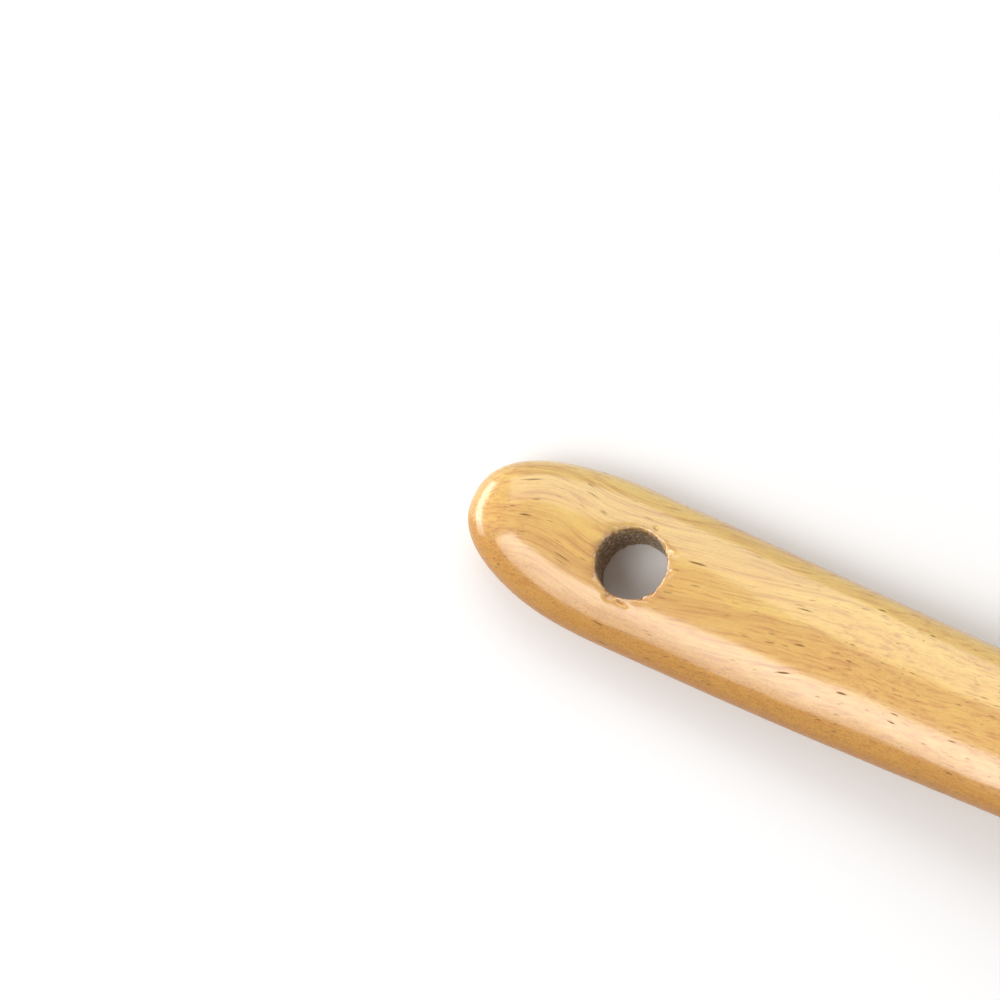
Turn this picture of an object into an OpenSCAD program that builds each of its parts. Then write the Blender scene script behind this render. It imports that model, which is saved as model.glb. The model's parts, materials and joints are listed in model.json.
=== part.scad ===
// Wooden slotted spoon, carved from one blank of hardwood.
// It lies along X, with the hanging end of the handle at -X and the bowl at +X, and rests on
// Z = 0 on the underside of the bowl and of the handle's end. Sizes are in millimetres.

/* [Spoon] */
// Overall length, from the handle's end to the bowl's tip
overall_length = 300; // [280:5:340]

/* [Handle] */
// Widest width of the handle, beside the hanging hole
handle_width = 18.9; // [17:0.1:22]
// Thickness of the handle at the hanging hole
handle_thickness = 9; // [8:0.5:11]
// Length of the rounded end, seen from above
end_length = 20.7; // [16:0.1:26]
// Width of the neck, the narrowest place before the bowl
neck_width = 11.4; // [10:0.2:15]
// Thickness of the neck
neck_thickness = 10.6; // [9:0.2:13]
// Rise of the handle's side line from its end to its crest
crest_rise = 11; // [4:0.5:16]

/* [Hanging hole] */
// Diameter of the drilled hole
hole_diameter = 8; // [5:0.5:9]
// Distance of its centre from the handle's end
hole_from_end = 20.7; // [16:0.1:30]

/* [Bowl] */
// Widest width of the bowl
bowl_width = 62; // [56:1:72]
// Length of the flare from the neck to the bowl's widest place
bowl_back = 64; // [56:1:72]
// Length of the bowl in front of its widest place
bowl_front = 42; // [38:1:50]
// Height of the rim's side line above the table
rim_height = 14; // [12:0.5:18]
// Crown of the rim above that line
rim_crown = 2.2; // [1.5:0.1:3]
// Width of the rim, from the outline in to the hollow
rim_width = 4; // [3:0.5:6]
// Depth of the hollow below the rim
hollow_depth = 11.4; // [8:0.2:11.8]
// Rise of the rim towards the tip
tip_lift = 2; // [0:0.5:4]

/* [Slots] */
// Number of slots, side by side across the bowl
slot_count = 5; // [3:2:5]
// Width of each slot
slot_width = 5; // [4.5:0.5:5.5]
// Spacing of the slots' centre lines
slot_pitch = 10.2; // [9:0.2:10.6]
// Length of the middle slot
slot_length = 50; // [30:1:54]

/* [Hidden] */
wood = "#c98f3f";

// Stations along the spoon, measured from the handle's end
level_end = 12;
taper_from = 10;
crest_at = overall_length / 2;
widest_at = overall_length - bowl_front;
bowl_start = widest_at - bowl_back;
rim_level_from = widest_at - 30;
hollow_from = bowl_start + 20;
slots_centre = widest_at - 3;

// Lengths over which one form runs into the next
end_bevel = 8;
tip_bevel = 5;
brow_length = 40;
rim_softness = 1.2;

// Fullness of the rounded forms: 2 is an ellipse, and more is squarer
end_fullness = 2.3;
tip_fullness = 2.1;
section_fullness = 2.35;
rim_fullness = 4.5;
belly_fullness = 2.1;
hollow_fullness = 3;
// Below 1, the flare opens early and reaches the full width gently
flare_bias = 0.72;

// Fineness of the loft: points round a ring, and rings along each stretch
ring_points = 48;
end_rings = 13;
handle_rings = 30;
back_rings = 26;
front_rings = 22;

function mix(a, b, share) = a + (b - a) * share;

function clamp(t) = min(1, max(0, t));

// Smooth change from 0 to 1 as t does the same, with no corner or jump in curvature at either end
function ease(t) = let (u = clamp(t)) pow(u, 3) * (u * (6 * u - 15) + 10);

function signed_power(value, power) = sign(value) * pow(abs(value), power);

// Rounded end: 0 at its point, and 1 from the given distance inwards
function round_end(distance, reach, fullness) =
    distance >= reach ? 1 : pow(1 - pow(1 - max(0, distance) / reach, fullness), 1 / fullness);

// Half the width of the handle, which tapers from its broad end to the neck
function handle_half(s) =
    let (taper = pow(sin(90 * clamp((s - taper_from) / (bowl_start - taper_from))), 2))
    mix(handle_width, neck_width, taper) / 2 * round_end(s, end_length, end_fullness);

// How far the neck has opened into the bowl: 0 at the neck, and 1 from the widest place on
function flare(s) = ease(pow(clamp((s - bowl_start) / bowl_back), flare_bias));

// Half the width of the whole outline, seen from above
function half_width(s) =
    mix(handle_half(s), bowl_width / 2, flare(s)) * round_end(overall_length - s, bowl_front, tip_fullness);

// Height of the side line, where the spoon is widest at each station
function side_height(s) =
    let (end_height = handle_thickness / 2,
         crest_height = end_height + crest_rise)
    s < crest_at
        ? mix(end_height, crest_height, ease((s - level_end) / (crest_at - level_end)))
        : mix(crest_height, rim_height, ease((s - crest_at) / (rim_level_from - crest_at)))
            + tip_lift * ease((s - widest_at) / bowl_front);

function half_thickness(s) = mix(handle_thickness, neck_thickness, ease(s / bowl_start)) / 2;

// Rise of the top above the side line, before the hollow is scooped out
function crown(s) =
    mix(half_thickness(s), rim_crown, ease((s - bowl_start) / brow_length))
    * round_end(s, end_bevel, end_fullness) * round_end(overall_length - s, tip_bevel, tip_fullness);

// Drop of the underside below the side line
function belly(s) =
    mix(half_thickness(s), rim_height, flare(s))
    * round_end(s, end_bevel, end_fullness) * round_end(overall_length - s, bowl_front, tip_fullness);

// Depth of the scooped hollow under the point at station s and offset y
function hollow(s, y) =
    let (reach = s < widest_at ? widest_at - hollow_from : bowl_front - rim_width,
         r = norm([(s - widest_at) / reach, y / (bowl_width / 2 - rim_width)]),
         depth = hollow_depth * (1 - pow(r, hollow_fullness)))
    (depth + norm([depth, rim_softness])) / 2;

// One point of the cross-section at station s: the angle runs from one side line down under
// the spoon to the other, and back over the top
function section_point(s, angle) =
    let (under = angle <= 180,
         y = -half_width(s) * signed_power(cos(angle), 2 / section_fullness),
         fullness = mix(section_fullness, under ? belly_fullness : rim_fullness, flare(s)),
         rise = (under ? belly(s) : crown(s)) * pow(abs(sin(angle)), 2 / fullness),
         top_scoop = under ? 0 : hollow(s, y))
    [s - overall_length / 2, y, side_height(s) + (under ? -rise : rise - top_scoop)];

function ring(s) = [for (i = [0:ring_points - 1]) section_point(s, 360 * i / ring_points)];

// Stations of the rings, which crowd together towards both round ends
stations = concat(
    [for (i = [1:end_rings]) end_length * (1 - cos(90 * i / end_rings))],
    [for (i = [1:handle_rings]) mix(end_length, bowl_start, i / handle_rings)],
    [for (i = [1:back_rings]) mix(bowl_start, widest_at, i / back_rings)],
    [for (i = [1:front_rings - 1]) widest_at + bowl_front * sin(90 * i / front_rings)]);

// Closed skin over a list of rings, drawn in to one point at each end
module skin(rings, first_point, last_point) {
    n = len(rings[0]);
    last = (len(rings) - 1) * n;
    points = concat([for (r = rings) each r], [first_point, last_point]);
    first = len(points) - 2;
    sides = [for (a = [0:n:last - n], i = [0:n - 1], half = [0, 1])
        let (b = (i + 1) % n)
        half == 0 ? [a + i, a + b, a + b + n] : [a + i, a + b + n, a + i + n]];
    first_cap = [for (i = [0:n - 1]) [(i + 1) % n, i, first]];
    last_cap = [for (i = [0:n - 1]) [last + i, last + (i + 1) % n, first + 1]];
    polyhedron(points = points, faces = concat(sides, first_cap, last_cap), convexity = 8);
}

module blank() {
    skin([for (s = stations) ring(s)],
         [-overall_length / 2, 0, side_height(0)],
         [overall_length / 2, 0, side_height(overall_length)]);
}

// A slot with round ends, cut straight down through the bowl
module slot(length) {
    straight = length - slot_width;
    linear_extrude(height = 3 * rim_height, center = true) {
        square([straight, slot_width], center = true);
        for (side = [-1, 1])
            translate([side * straight / 2, 0]) circle(d = slot_width, $fn = 48);
    }
}

// The row of slots, the outer ones shorter so that they follow the oval of the bowl
module slots() {
    for (i = [0:slot_count - 1])
        let (y = (i - (slot_count - 1) / 2) * slot_pitch,
             share = sqrt(1 - pow(y / (bowl_width / 2 - rim_width), 2)))
        translate([slots_centre - overall_length / 2, y, 0]) slot(slot_length * share);
}

module hanging_hole() {
    translate([hole_from_end - overall_length / 2, 0, 0])
        cylinder(d = hole_diameter, h = 4 * handle_thickness, center = true, $fn = 96);
}

module spoon() {
    color(wood)
    difference() {
        blank();
        slots();
        hanging_hole();
    }
}

spoon();
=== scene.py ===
# %% [markdown]
# # A wooden slotted spoon
# The photograph shows the end of a spoon's handle: golden hardwood, polished by years of hands,
# with a drilled hole to hang it by. The rest of the spoon is out of the picture. The whole of it
# is cut from one board, so it is modelled as one closed piece with one wood.

import json
import math

import bpy
from mathutils import Matrix, Vector

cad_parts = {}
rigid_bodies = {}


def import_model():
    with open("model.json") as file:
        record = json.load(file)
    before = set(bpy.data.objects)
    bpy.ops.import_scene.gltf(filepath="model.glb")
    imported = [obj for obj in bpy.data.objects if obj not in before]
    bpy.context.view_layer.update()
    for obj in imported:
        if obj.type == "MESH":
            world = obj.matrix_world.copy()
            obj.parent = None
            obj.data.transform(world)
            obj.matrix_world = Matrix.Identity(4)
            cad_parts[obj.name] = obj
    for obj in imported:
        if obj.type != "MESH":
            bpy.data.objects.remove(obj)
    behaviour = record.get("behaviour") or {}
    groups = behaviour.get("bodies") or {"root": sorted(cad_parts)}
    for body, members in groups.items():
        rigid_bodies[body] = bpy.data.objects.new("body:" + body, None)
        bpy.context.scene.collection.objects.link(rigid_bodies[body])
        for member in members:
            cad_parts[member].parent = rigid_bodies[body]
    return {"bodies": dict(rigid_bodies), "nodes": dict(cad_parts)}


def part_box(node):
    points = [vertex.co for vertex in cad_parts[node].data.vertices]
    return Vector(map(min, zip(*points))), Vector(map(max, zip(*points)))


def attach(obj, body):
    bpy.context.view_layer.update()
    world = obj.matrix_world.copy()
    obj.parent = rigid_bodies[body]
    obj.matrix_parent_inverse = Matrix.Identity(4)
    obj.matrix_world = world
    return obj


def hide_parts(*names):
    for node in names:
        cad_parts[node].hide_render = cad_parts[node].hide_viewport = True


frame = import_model()
from_frame = set(frame["nodes"].values()) | set(frame["bodies"].values())
for default_thing in [o for o in bpy.data.objects if o not in from_frame]:
    bpy.data.objects.remove(default_thing)
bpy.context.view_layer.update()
scene = bpy.context.scene

# %% [markdown]
# ## The spoon's sizes
# These are the sizes that a carver would mark on the board, in millimetres. The length and the
# bowl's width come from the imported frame. A station is a distance along the spoon, counted from
# the end of the handle.

# %% Sizes in millimetres
MM = 0.001
node_low, node_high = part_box("spoon")
LENGTH = (node_high.x - node_low.x) / MM
SIZES = {
    "Length": LENGTH,
    "Handle width": 18.9,
    "Handle thickness": 9.0,
    "End length": 20.7,
    "Neck width": 11.4,
    "Neck thickness": 10.6,
    "Crest rise": 11.0,
    "Hole diameter": 8.0,
    "Hole from end": 20.7,
    "Bowl width": (node_high.y - node_low.y) / MM,
    "Bowl back": 64.0,
    "Bowl front": 42.0,
    "Rim height": 14.0,
    "Rim crown": 2.2,
    "Rim width": 4.0,
    "Hollow depth": 11.4,
    "Tip lift": 2.0,
    "Slot width": 5.0,
    "Slot pitch": 10.2,
    "Slot length": 50.0,
}
LEVEL_END = 12.0
TAPER_FROM = 10.0
END_BEVEL = 8.0
TIP_BEVEL = 5.0
BROW_LENGTH = 40.0
HOLLOW_AFTER_NECK = 20.0
LEVEL_RIM_BEFORE_WIDEST = 30.0
SLOTS_BEHIND_WIDEST = 3.0
OUTER_LANE = 2
RIM_SOFTNESS = 1.2
FLARE_BIAS = 0.72
print("spoon:", round(LENGTH, 1), "mm long,", round(SIZES["Bowl width"], 1), "mm wide")

# %% Fullness of the rounded forms: 2 is an ellipse, and more is squarer
END_FULLNESS = 2.3
TIP_FULLNESS = 2.1
SECTION_FULLNESS = 2.35
RIM_FULLNESS = 4.5
BELLY_FULLNESS = 2.1
HOLLOW_FULLNESS = 3.0

# %% [markdown]
# ## Node trees written as formulas
# The spoon's shape and the figure of its wood are both rules, and a rule is easiest to read as a
# formula. A Wire stands for one socket of a node tree. Python's operators on it add the Math
# nodes of the formula, in a geometry tree and in a material alike.

# %% Any node, from one function
def add_node(tree, kind, settings=None, inputs=None, output=0):
    """Adds a node: first its settings, then the values or wires of its sockets."""
    made = tree.nodes.new(kind)
    for name, value in (settings or {}).items():
        setattr(made, name, value)
    for key, value in (inputs or {}).items():
        if isinstance(value, Wire):
            tree.links.new(value.socket, made.inputs[key])
        else:
            made.inputs[key].default_value = value
    return Wire(made.outputs[output]) if made.outputs else made


# %% Wires that do arithmetic
class Wire:
    """One output socket of a node tree, on which Python's operators add Math nodes."""

    def __init__(self, socket):
        self.socket = socket

    def add(self, kind, settings=None, inputs=None, output=0):
        return add_node(self.socket.id_data, kind, settings, inputs, output)

    def out(self, name):
        """Another output of the same node."""
        return Wire(self.socket.node.outputs[name])

    def math(self, operation, *values):
        return self.add("ShaderNodeMath", {"operation": operation}, dict(enumerate(values)))

    def __add__(self, other):
        return self.math("ADD", self, other)

    def __radd__(self, other):
        return self.math("ADD", other, self)

    def __sub__(self, other):
        return self.math("SUBTRACT", self, other)

    def __rsub__(self, other):
        return self.math("SUBTRACT", other, self)

    def __mul__(self, other):
        return self.math("MULTIPLY", self, other)

    def __rmul__(self, other):
        return self.math("MULTIPLY", other, self)

    def __truediv__(self, other):
        return self.math("DIVIDE", self, other)

    def __rtruediv__(self, other):
        return self.math("DIVIDE", other, self)

    def __pow__(self, other):
        return self.math("POWER", self, other)

    def __neg__(self):
        return self.math("MULTIPLY", self, -1.0)

    def of(self, operation):
        """One Math node of this wire alone, such as SINE."""
        return self.math(operation, self)

    def at_least(self, other):
        return self.math("MAXIMUM", self, other)

    def at_most(self, other):
        return self.math("MINIMUM", self, other)

    def between(self, start, end, form="LINEAR"):
        """0 at start, 1 at end, and in between it rises evenly."""
        return self.add("ShaderNodeMapRange", {"interpolation_type": form},
                        {0: self, 1: start, 2: end})

    def ease(self, start=0.0, end=1.0):
        """0 at start, 1 at end, and smooth where it leaves both."""
        return self.between(start, end, "SMOOTHERSTEP")


# %% Small formulas used all over
def mix(a, b, share):
    """a where share is 0, and b where it is 1."""
    return a + (b - a) * share


def length(a, b):
    return (a * a + b * b).of("SQRT")


def soft_larger(a, b, edge):
    """The larger of two wires, with the corner between them rounded over."""
    return (a + b + length(a - b, edge)) * 0.5


def hill(wire, centre, width):
    """1 at the centre, and smoothly down to 0 on both sides."""
    off = (wire - centre) / width
    return (off * off * -1.0).of("EXPONENT")


# %% [markdown]
# ## The carver's curves
# A few curves along the spoon describe it: its half width, the height of its side line, how far
# the top rises above that line, how far the underside drops below it, and the scooped hollow.

# %% Curves along the spoon
class Curves:
    """The spoon's outline and profile, as wires that depend on the station s."""

    def __init__(self, s, size):
        self.s = s
        self.size = size
        self.widest = size["Length"] - size["Bowl front"]
        self.neck = self.widest - size["Bowl back"]
        self.to_tip = size["Length"] - s
        self.flare = (s.between(self.neck, self.widest) ** FLARE_BIAS).ease()

    def rounded(self, from_end, reach, fullness):
        """0 at an end, and 1 from the given distance inwards."""
        left = 1.0 - from_end.between(0.0, reach)
        return (1.0 - left ** fullness) ** (1 / fullness)

    def half_width(self):
        taper = (self.s.between(TAPER_FROM, self.neck) * (math.pi / 2)).of("SINE") ** 2.0
        handle = mix(self.size["Handle width"], self.size["Neck width"], taper) * 0.5
        handle = handle * self.rounded(self.s, self.size["End length"], END_FULLNESS)
        bowl = mix(handle, self.size["Bowl width"] * 0.5, self.flare)
        return bowl * self.rounded(self.to_tip, self.size["Bowl front"], TIP_FULLNESS)

    def side_height(self):
        at_end = self.size["Handle thickness"] * 0.5
        at_crest = at_end + self.size["Crest rise"]
        middle = self.size["Length"] * 0.5
        rise = self.s.ease(LEVEL_END, middle)
        settle = self.s.ease(middle, self.widest - LEVEL_RIM_BEFORE_WIDEST)
        lift = self.size["Tip lift"] * self.s.ease(self.widest, self.size["Length"])
        return mix(at_end, at_crest, rise) + (self.size["Rim height"] - at_crest) * settle + lift

    def half_thickness(self):
        along = self.s.ease(0.0, self.neck)
        return mix(self.size["Handle thickness"], self.size["Neck thickness"], along) * 0.5

    def crown(self):
        brow = self.s.ease(self.neck, self.neck + BROW_LENGTH)
        ends = (self.rounded(self.s, END_BEVEL, END_FULLNESS)
                * self.rounded(self.to_tip, TIP_BEVEL, TIP_FULLNESS))
        return mix(self.half_thickness(), self.size["Rim crown"], brow) * ends

    def belly(self):
        ends = (self.rounded(self.s, END_BEVEL, END_FULLNESS)
                * self.rounded(self.to_tip, self.size["Bowl front"], TIP_FULLNESS))
        return mix(self.half_thickness(), self.size["Rim height"], self.flare) * ends

    def hollow(self, y):
        """Depth of the scooped hollow under the point at offset y."""
        behind = self.size["Bowl back"] - HOLLOW_AFTER_NECK
        ahead = self.size["Bowl front"] - self.size["Rim width"]
        off = self.s - self.widest
        reach = mix(behind, ahead, off.math("GREATER_THAN", off, 0.0))
        across = y / (self.size["Bowl width"] * 0.5 - self.size["Rim width"])
        depth = self.size["Hollow depth"] * (1.0 - length(off / reach, across) ** HOLLOW_FULLNESS)
        return (depth + length(depth, RIM_SOFTNESS)) * 0.5


# %% [markdown]
# ## The rule of the solid
# A point is wood where the rule is negative: inside the rounded section, and outside the slots
# and the hole. The larger of two such rules is what they have in common, and rounding over that
# choice rounds the edge that a saw or a drill left, as years of stirring and wiping do.

# %% Inside the rounded section
NOTHING = 0.01
FAR = 4.0


def section_rule(curves, y, z):
    """Negative inside the section, and near its skin about the distance in millimetres."""
    half = curves.half_width().at_least(NOTHING)
    across = (y.of("ABSOLUTE") / half) ** SECTION_FULLNESS
    over = z - curves.side_height()
    parts = []
    for rise, reach, fullness_in_bowl in (
            (over + curves.hollow(y), curves.crown(), RIM_FULLNESS),
            (-over, curves.belly(), BELLY_FULLNESS)):
        reach = reach.at_least(NOTHING)
        fullness = mix(SECTION_FULLNESS, fullness_in_bowl, curves.flare)
        radial = (across + (rise.at_least(0.0) / reach) ** fullness) ** (1 / SECTION_FULLNESS) - 1.0
        steep = (1.0 - across).at_least(NOTHING) ** ((fullness - 1.0) / fullness)
        parts.append(radial * (reach * SECTION_FULLNESS / (fullness * steep)).at_most(half))
    level = parts[0].at_least(parts[1]).at_most(FAR)
    return level.at_least(-curves.s).at_least(-curves.to_tip)


# %% Distances to the slots and to the hole, seen from above
def slot_distance(curves, y):
    size = curves.size
    lane = (y / size["Slot pitch"]).of("ROUND").at_least(-OUTER_LANE).at_most(OUTER_LANE)
    middle = lane * size["Slot pitch"]
    share = middle / (size["Bowl width"] * 0.5 - size["Rim width"])
    straight = (size["Slot length"] * (1.0 - share * share).of("SQRT") - size["Slot width"]) * 0.5
    along = (curves.s - (curves.widest - SLOTS_BEHIND_WIDEST)).of("ABSOLUTE") - straight
    return length(along.at_least(0.0), y - middle) - size["Slot width"] * 0.5


def hole_distance(curves, y):
    return length(curves.s - curves.size["Hole from end"], y) - curves.size["Hole diameter"] * 0.5


# %% [markdown]
# ## Marks of the knife and of wear
# A carved spoon is never quite even. Low waves stand for the flats that a knife and a scraper
# leave, and small splinters are missing where the drill tore the fibres on its way out.

# %% Hand-made unevenness
KNIFE_WAVE = 0.16
SLOT_EDGE = 0.7
HOLE_EDGE = 0.22
SPLINTER = 0.9


def field_noise(place, scale, detail=1.0):
    return place.add("ShaderNodeTexNoise", None, {"Vector": place, "Scale": scale, "Detail": detail})


def spoon_rule(s, y, z, size):
    """The whole rule, and the distance to the hole, round which the wood is coloured darker and the hole's
    wall gets painted shade.
    """
    curves = Curves(s, size)
    place = s.add("ShaderNodeCombineXYZ", None, {0: s * 0.45, 1: y, 2: z})
    waves = (field_noise(place, 0.11) - 0.5) * (2.0 * KNIFE_WAVE)
    section = section_rule(curves, y, z)
    slot = slot_distance(curves, y)
    hole = hole_distance(curves, y)
    torn = field_noise(place, 1.4, 2.0).between(0.5, 0.68) * hill(section, 0.0, 0.7)
    level = soft_larger(section + waves, -slot, SLOT_EDGE)
    level = soft_larger(level, torn * SPLINTER - hole, HOLE_EDGE)
    return level, hole


# %% [markdown]
# ## From rule to skin
# Volume Cube samples a rule on a grid, and Volume to Mesh lays a closed skin where the rule
# changes sign. The grid isn't spent evenly. It is bent along the spoon, with fine cells round
# the hanging hole, which the photograph shows from close by, and long ones on the plain handle.
# The round ends of the grid crowd their cells, so the skin meets the tips squarely.

# %% A grid that follows the spoon
STRETCHES = [
    ("round start", 12.0, 46),
    ("even", 17.0, 68),
    ("even", 38.0, 64),
    ("even", None, 34),
    ("even", 64.0, 96),
    ("round end", 42.0, 84),
]
CELLS_ALONG = sum(count for _, _, count in STRETCHES)
CELLS_ACROSS = 108
CELLS_UP = 40
MARGIN = 1.07

# %% How far the grid reaches to the sides and up, in millimetres
PAST_HOLE, PLAIN_HANDLE = 28.0, 60.0
REACH_AT_HOLE = (10.6, 5.2)
REACH_ON_HANDLE = (14.0, 7.0)
BOWL_REACH_UP = 9.8
BOWL_MIDDLE = 9.0


def station(a):
    """The station of a place along the grid, which is counted in cells."""
    rest = LENGTH - sum(span for _, span, _ in STRETCHES if span)
    start, s = 0, a.at_most(0.0) + (a - CELLS_ALONG).at_least(0.0)
    for form, span, count in STRETCHES:
        u = a.between(start, start + count)
        if form == "round start":
            u = 1.0 - (u * (math.pi / 2)).of("COSINE")
        if form == "round end":
            u = (u * (math.pi / 2)).of("SINE")
        s = s + u * (span or rest)
        start += count
    return s


def grid_to_spoon(a, b, c, size):
    """A place in the grid, as a point of the spoon in millimetres."""
    s = station(a)
    curves = Curves(s, size)
    past_hole = s.ease(PAST_HOLE, PLAIN_HANDLE)
    wide = mix(mix(REACH_AT_HOLE[0], REACH_ON_HANDLE[0], past_hole), size["Bowl width"] * 0.5, curves.flare)
    tall = mix(mix(REACH_AT_HOLE[1], REACH_ON_HANDLE[1], past_hole), BOWL_REACH_UP, curves.flare)
    middle = mix(curves.side_height(), BOWL_MIDDLE, curves.flare)
    return s, b * wide, middle + c * tall


# %% The tree that makes the skin
LEAN = 0.3
MARKS = ("hole_gap", "turn")


def spoon_tree(material):
    tree = bpy.data.node_groups.new("spoon_from_its_rule", "GeometryNodeTree")
    for name, value in SIZES.items():
        measure = tree.interface.new_socket(name, in_out="INPUT", socket_type="NodeSocketFloat")
        measure.default_value = value
    tree.interface.new_socket("Geometry", in_out="OUTPUT", socket_type="NodeSocketGeometry")
    given = tree.nodes.new("NodeGroupInput")
    size = {name: Wire(given.outputs[name]) for name in SIZES}

    place = add_node(tree, "GeometryNodeInputPosition")
    cell = place.add("ShaderNodeSeparateXYZ", None, {0: place})
    s, y, z = grid_to_spoon(cell, cell.out("Y"), cell.out("Z"), size)
    level, hole = spoon_rule(s, y, z, size)
    grid = add_node(tree, "GeometryNodeVolumeCube", None, {
        "Density": 0.5 - level * 0.1, "Background": 0.0,
        "Min": (-1.5, -MARGIN, -MARGIN), "Max": (CELLS_ALONG + 1.5, MARGIN, MARGIN),
        "Resolution X": CELLS_ALONG + 4, "Resolution Y": CELLS_ACROSS, "Resolution Z": CELLS_UP})
    skin = grid.add("GeometryNodeVolumeToMesh", {"resolution_mode": "GRID"},
                    {"Volume": grid, "Threshold": 0.5, "Adaptivity": 0.0})

    turn = y / Curves(s, size).half_width().at_least(1.0)
    for name, value in zip(MARKS, (hole, turn)):
        skin = skin.add("GeometryNodeStoreNamedAttribute", {"data_type": "FLOAT"},
                        {"Geometry": skin, "Name": name, "Value": value})

    leaning = y + (1.0 - s.ease(0.0, 16.0)) * LEAN
    point = skin.add("ShaderNodeCombineXYZ", None, {0: s - LENGTH / 2, 1: leaning, 2: z})
    bent = skin.add("GeometryNodeSetPosition", None, {"Geometry": skin, "Position": point})
    calm = bent.add("GeometryNodeBlurAttribute", {"data_type": "FLOAT_VECTOR"},
                    {"Value": place, "Iterations": 2})
    smooth = bent.add("GeometryNodeSetPosition", None, {"Geometry": bent, "Position": calm})
    metres = smooth.add("GeometryNodeTransform", None, {"Geometry": smooth, "Scale": (MM, MM, MM)})
    shaded = metres.add("GeometryNodeSetShadeSmooth", None, {"Geometry": metres})
    whole = shaded.add("GeometryNodeRealizeInstances", None, {"Geometry": shaded})
    final = whole.add("GeometryNodeSetMaterial", None, {"Geometry": whole, "Material": material})
    tree.links.new(final.socket, tree.nodes.new("NodeGroupOutput").inputs["Geometry"])
    return tree


# %% A plain mesh out of a tree
def grown(name, tree, values):
    """Runs a tree with these values and keeps its result as a plain mesh object."""
    holder = bpy.data.objects.new(name + "_seed", bpy.data.meshes.new(name + "_seed"))
    scene.collection.objects.link(holder)
    modifier = holder.modifiers.new("grow", "NODES")
    modifier.node_group = tree
    for item in tree.interface.items_tree:
        if item.in_out == "INPUT" and item.name in values:
            modifier[item.identifier] = values[item.name]
    graph = bpy.context.evaluated_depsgraph_get()
    mesh = bpy.data.meshes.new_from_object(holder.evaluated_get(graph))
    holder.modifiers.remove(modifier)
    bpy.data.objects.remove(holder)
    mesh.name = name
    made = bpy.data.objects.new(name, mesh)
    scene.collection.objects.link(made)
    return made


wood = bpy.data.materials.new("polished_hardwood")
wood.use_nodes = True
spoon = grown("carved_spoon", spoon_tree(wood), SIZES)
corners = sum(len(p.vertices) - 2 for p in spoon.data.polygons)
print("spoon:", len(spoon.data.vertices), "points,", corners, "triangles")

# %% Where the spoon belongs in the frame
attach(spoon, "root")
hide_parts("spoon")

# %% [markdown]
# ## The wood
# Wood is a bundle of fibres, so its figure is a solid thing: a dark pore is a long thin tube, and
# shows as a dash where the surface runs along it and as a dot where the surface cuts across it.
# The pattern below is therefore a rule in space too, in millimetres on Object coordinates,
# stretched along fibres that bend beside the hole and swing across the handle.

# %% The place in millimetres, and the marks stored on the skin
sheet = wood.node_tree
sheet.nodes.clear()
coordinates = add_node(sheet, "ShaderNodeTexCoord").out("Object")
in_mm = coordinates.add("ShaderNodeVectorMath", {"operation": "SCALE"}, {0: coordinates, "Scale": 1000.0})
split = in_mm.add("ShaderNodeSeparateXYZ", None, {0: in_mm})
s = split + LENGTH / 2
y = split.out("Y")
z = split.out("Z")


def mark(name):
    return add_node(sheet, "ShaderNodeAttribute", {"attribute_name": name}).out("Fac")


hole_gap, turn = (mark(name) for name in MARKS)


def point(a, b, c):
    return a.add("ShaderNodeCombineXYZ", None, {0: a, 1: b, 2: c})


def noise(where, detail=2.0, rough=0.5):
    return where.add("ShaderNodeTexNoise", None,
                     {"Vector": where, "Scale": 1.0, "Detail": detail, "Roughness": rough})


def line_noise(w, detail=2.0, rough=0.5):
    return w.add("ShaderNodeTexNoise", {"noise_dimensions": "1D"},
                 {"W": w, "Scale": 1.0, "Detail": detail, "Roughness": rough})


# %% The run of the fibres
swing = s * 0.04 + (s / 90.0).of("TANH") * 14.0 + hill(s, 9.0, 7.0) * 3.0
wide_wave = (noise(point(s / 34.0, y / 14.0, z / 14.0), 1.0) - 0.5) * 5.0
small_wave = (noise(point(s / 7.0, y / 3.2, z / 3.2), 2.0) - 0.5) * 0.9
v = y - swing + wide_wave + small_wave
w = z + v * 0.35 + s * 0.03 + wide_wave * 0.6


def along_fibres(run, thick):
    """A place measured in cells that are long along the fibres and thin across them."""
    return point(s / run, v / thick, w / thick)


# %% Growth rings and streaks
ring = line_noise(v * 0.36 + w * 0.3, 2.0).between(0.32, 0.68)
fine_ring = line_noise(v * 2.6 + w * 2.2, 3.0, 0.7).between(0.3, 0.7)
streak = noise(along_fibres(9.0, 0.34), 4.0, 0.6).between(0.34, 0.66)
hair = noise(along_fibres(2.6, 0.13), 3.0, 0.65).between(0.3, 0.7)
cloud = noise(point(s / 22.0, v / 7.0, w / 7.0), 3.0).between(0.3, 0.7)
speckle = noise(point(s / 0.32, y / 0.24, z / 0.24), 2.0, 0.8).between(0.3, 0.7)


# %% Pores
def pores(run, thick, widest, share):
    """Dark tubes: 1 inside them. The share is how many of the cells hold one."""
    cell = add_node(sheet, "ShaderNodeTexVoronoi", {"voronoi_dimensions": "3D"},
                    {"Vector": along_fibres(run, thick), "Scale": 1.0, "Randomness": 1.0})
    chance = cell.add("ShaderNodeSeparateXYZ", None, {0: cell.out("Color")})
    girth = chance.between(1.0 - share, 1.0) * widest
    return (girth - cell).between(0.0, widest * 0.45)


long_pores = pores(7.0, 0.46, 0.26, 0.55)
short_pores = pores(2.6, 0.3, 0.3, 0.6)

# %% Shares across the spoon: painted light and painted shade on its two sides, painted shade on its side faces, and the bowl
# Painted light and shade: 1 on the +Y side, painted lighter as if lit from there, and 0 on the -Y side,
# painted darker as if in shade
painted_light_across = (y + (cloud - 0.5) * 5.0).between(-9.0, 7.5)
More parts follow.
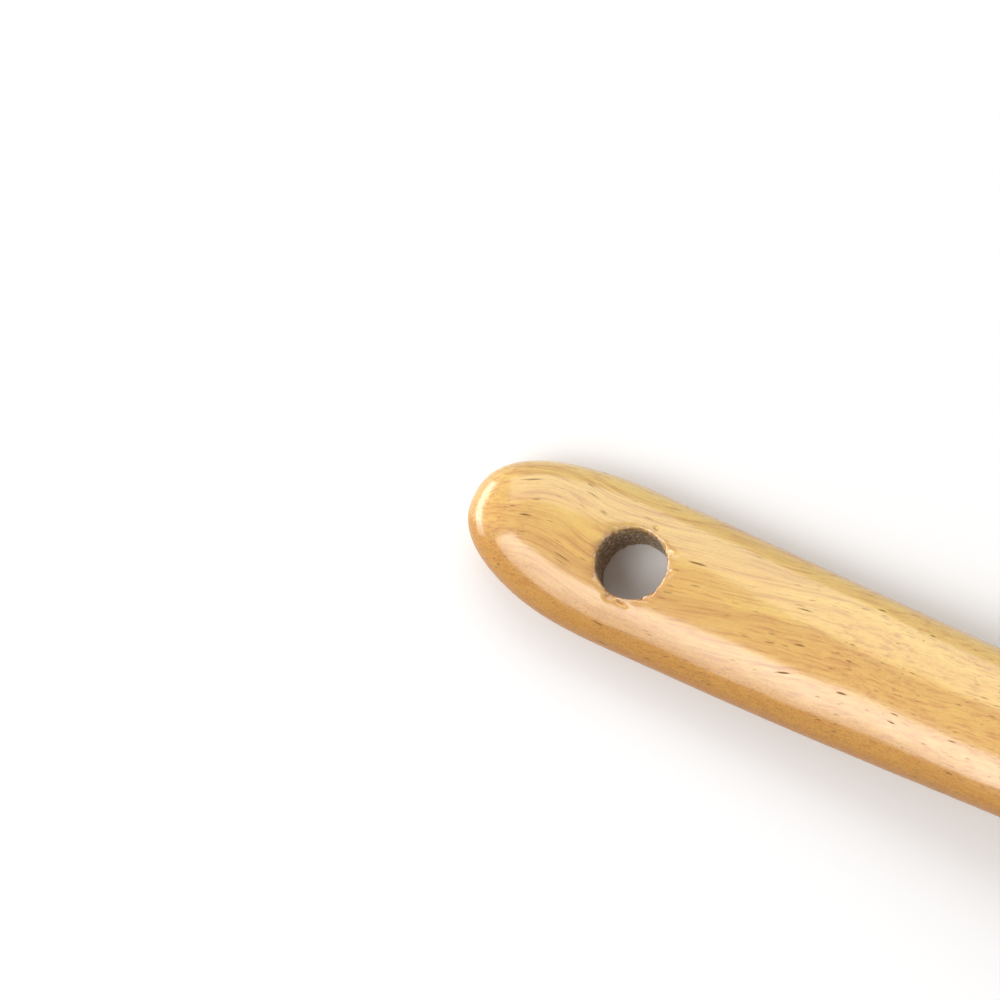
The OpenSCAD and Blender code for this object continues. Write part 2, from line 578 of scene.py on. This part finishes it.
# Painted shade along the -Y edge of the handle, where the surface turns away from the light
painted_shade_low_side = (turn * -1.0 + (cloud - 0.5) * 0.25).ease(0.45, 0.85) * (1.0 - s.ease(150.0, 200.0))
# Painted shade on both side faces of the section, where it turns away from the light
edge = turn.of("ABSOLUTE").ease(0.9, 1.0)
bowl = s.ease(196.0, 222.0)


# %% Colours
def blend(base, colour, share, kind="MIX"):
    """One colour over another, as far as the share says."""
    return share.add("ShaderNodeMix", {"data_type": "RGBA", "blend_type": kind},
                     {0: share, 6: base, 7: colour}, output=2)


def rgb(red, green, blue):
    """A colour as a picture editor gives it, in the linear light that Blender uses."""
    return tuple((c / 255 / 12.92) if c < 11 else ((c / 255 + 0.055) / 1.055) ** 2.4
                 for c in (red, green, blue)) + (1.0,)


HONEY = rgb(240, 205, 105)
GOLD = rgb(228, 172, 76)
AMBER = rgb(196, 132, 38)
RUST = rgb(170, 92, 30)
PORE = rgb(92, 58, 22)
# The colour of the painted shade in the hole
BORE_SHADE = rgb(70, 62, 45)
FIBRE = rgb(226, 205, 190)

# Painted light: honey on the +Y side. Painted shade: amber on the -Y side
colour = blend(GOLD, HONEY, painted_light_across.between(0.45, 1.0))
colour = blend(colour, AMBER, (1.0 - painted_light_across).between(0.45, 1.0) * 0.75)
colour = blend(colour, AMBER, (1.0 - ring) * 0.45)
colour = blend(colour, RUST, (1.0 - fine_ring) * (1.0 - ring) * 0.35)
colour = blend(colour, HONEY, streak * 0.35)
colour = blend(colour, RUST, (1.0 - streak).between(0.55, 1.0) * 0.4)
colour = blend(colour, RUST, (1.0 - hair).between(0.5, 1.0) * 0.25)
# Painted shade: rust on the side faces
colour = blend(colour, RUST, edge * 0.55)
# Painted shade: amber along the -Y edge, and the dark speckles are denser there too
colour = blend(colour, AMBER, painted_shade_low_side * 0.6)
colour = blend(colour, PORE, (1.0 - speckle).between(0.45, 1.0) * mix(0.12, 0.42, painted_shade_low_side))
colour = blend(colour, PORE, long_pores * 0.75)
colour = blend(colour, PORE, short_pores * 0.5)

# %% The drilled hole: darker wood round it, painted shade on its wall, and its torn fibres
END_OF_HANDLE_PART = 60.0
near_end = s.math("LESS_THAN", s, END_OF_HANDLE_PART)
# Painted shade on the wall of the hole
wall = (0.12 - hole_gap).between(0.0, 0.16) * near_end
# Darker wood within 1.5 mm of the hole, in patches
darker_round_hole = (1.5 - hole_gap).between(0.0, 1.5) * near_end
hole_patchiness = noise(point(s / 1.1, y / 1.1, z / 1.1), 3.0).between(0.35, 0.65)
tear = noise(point(s / 0.32, y / 0.32, z / 0.6), 3.0, 0.7).between(0.5, 0.62)
rim_ring = hill(hole_gap, 0.12, 0.32) * near_end
# The wood round the hole is coloured darker, in patches
colour = blend(colour, RUST, darker_round_hole * hole_patchiness * 0.5)
# Painted shade: a dark grey brown over the hole's wall
colour = blend(colour, BORE_SHADE, wall * mix(0.85, 0.98, hole_patchiness))
colour = blend(colour, FIBRE, tear * rim_ring * 0.85)

# %% The finish, from colour to gloss
dull = long_pores.at_least(short_pores * 0.6).at_least(wall).at_least(painted_shade_low_side * 0.5)
height = (streak * 0.012 + hair * 0.008 - long_pores * 0.05 - short_pores * 0.03
          + speckle * 0.004 + cloud * 0.05)
relief = height.add("ShaderNodeBump", None, {"Strength": 1.0, "Distance": MM, "Height": height})
surface = add_node(sheet, "ShaderNodeBsdfPrincipled", None, {
    "Base Color": colour,
    "Roughness": mix(0.34, 0.75, dull) + (1.0 - streak) * 0.06,
    "Specular IOR Level": 0.4,
    "Coat Weight": (1.0 - dull) * mix(0.85, 0.45, bowl),
    "Coat Roughness": 0.14,
    "Coat IOR": 1.75,
    "Normal": relief,
})
add_node(sheet, "ShaderNodeOutputMaterial", None, {"Surface": surface})

# %% [markdown]
# ## The camera
# The photograph is a close view of the handle's end, turned so that the handle runs down to the
# right. The direction, distance and lens below put the model's outline and both rims of its hole
# where the photograph has them.

# %% Camera
AZIMUTH, ELEVATION, ROLL = math.radians(54.825), math.radians(74.114), math.radians(-29.202)
AWAY = 485.0 * MM
AIM = Vector((2.758 - LENGTH / 2, 1.122, 4.0)) * MM

back = Vector((math.sin(AZIMUTH) * math.cos(ELEVATION),
               -math.cos(AZIMUTH) * math.cos(ELEVATION), math.sin(ELEVATION)))
level_right = Vector((0.0, 0.0, 1.0)).cross(back).normalized()
level_up = back.cross(level_right)
right = math.cos(ROLL) * level_right + math.sin(ROLL) * level_up
up = math.cos(ROLL) * level_up - math.sin(ROLL) * level_right
camera = bpy.data.objects.new("camera", bpy.data.cameras.new("camera"))
scene.collection.objects.link(camera)
camera.matrix_world = (Matrix.Translation(AIM + back * AWAY)
                       @ Matrix((right, up, back)).transposed().to_4x4())
camera.data.lens = 152.2
camera.data.clip_start = 0.01
scene.camera = camera
print("camera at", [round(v, 3) for v in camera.matrix_world.translation])

# %% [markdown]
# ## The table and the light
# The spoon lies on plain white. Its gloss shows what stood round it: a broad window at the far
# side, one window over the near side, which draws the long white streak on the edge of the
# handle, and a low one beyond the handle's end, which fills the round tip.

# %% What the camera and a reflection see as plain white
def seen_directly(tree):
    """1 for a ray from the camera, or one that a glossy or clear surface sends on."""
    ray = add_node(tree, "ShaderNodeLightPath")
    return ray.at_least(ray.out("Is Glossy Ray")).at_least(ray.out("Is Transmission Ray"))


# %% Floor
HALF_FLOOR = 6.0
floor = bpy.data.objects.new("floor", bpy.data.meshes.new("floor"))
floor.data.from_pydata([(-HALF_FLOOR, -HALF_FLOOR, 0), (HALF_FLOOR, -HALF_FLOOR, 0),
                        (HALF_FLOOR, HALF_FLOOR, 0), (-HALF_FLOOR, HALF_FLOOR, 0)], [], [(0, 1, 2, 3)])
scene.collection.objects.link(floor)
paper = bpy.data.materials.new("white_paper")
paper.use_nodes = True
paper.node_tree.nodes.clear()
white = seen_directly(paper.node_tree)
white = white.add("ShaderNodeMix", {"data_type": "RGBA"},
                  {0: white, 6: (0.6, 0.6, 0.6, 1.0), 7: (1.0, 1.0, 1.0, 1.0)}, output=2)
matte = white.add("ShaderNodeBsdfDiffuse", None, {"Color": white})
add_node(paper.node_tree, "ShaderNodeOutputMaterial", None, {"Surface": matte})
floor.data.materials.append(paper)


# %% Lamps
def softbox(name, azimuth, elevation, away, width, height, brightness):
    """A square lamp that faces the spoon. Its brightness is what a mirror would show of it."""
    a, e = math.radians(azimuth), math.radians(elevation)
    towards = Vector((math.sin(a) * math.cos(e), -math.cos(a) * math.cos(e), math.sin(e)))
    lamp = bpy.data.lights.new(name, "AREA")
    lamp.shape = "RECTANGLE"
    lamp.size, lamp.size_y = width, height
    lamp.energy = brightness * math.pi * width * height
    held = bpy.data.objects.new(name, lamp)
    held.location = Vector((-0.08, 0.0, 0.01)) + towards * away
    held.rotation_euler = towards.to_track_quat("Z", "Y").to_euler()
    held.visible_camera = False
    scene.collection.objects.link(held)
    seen_share = width * height / away ** 2 * math.sin(e) / math.pi
    print(name, "lights the floor to", round(brightness * seen_share, 2))


softbox("far_window", 207.0, 46.0, 1.3, 1.2, 0.9, 1.7)
softbox("near_window", 326.0, 56.0, 1.3, 0.7, 0.8, 4.5)
softbox("end_window", 275.0, 11.0, 1.2, 1.2, 0.45, 5.0)

# %% World
world = bpy.data.worlds.new("white_room")
scene.world = world
world.use_nodes = True
world.node_tree.nodes.clear()
room = add_node(world.node_tree, "ShaderNodeBackground", None, {
    "Color": (1.0, 1.0, 1.0, 1.0), "Strength": mix(0.36, 1.0, seen_directly(world.node_tree))})
add_node(world.node_tree, "ShaderNodeOutputWorld", None, {"Surface": room})
scene.view_settings.view_transform = "Standard"
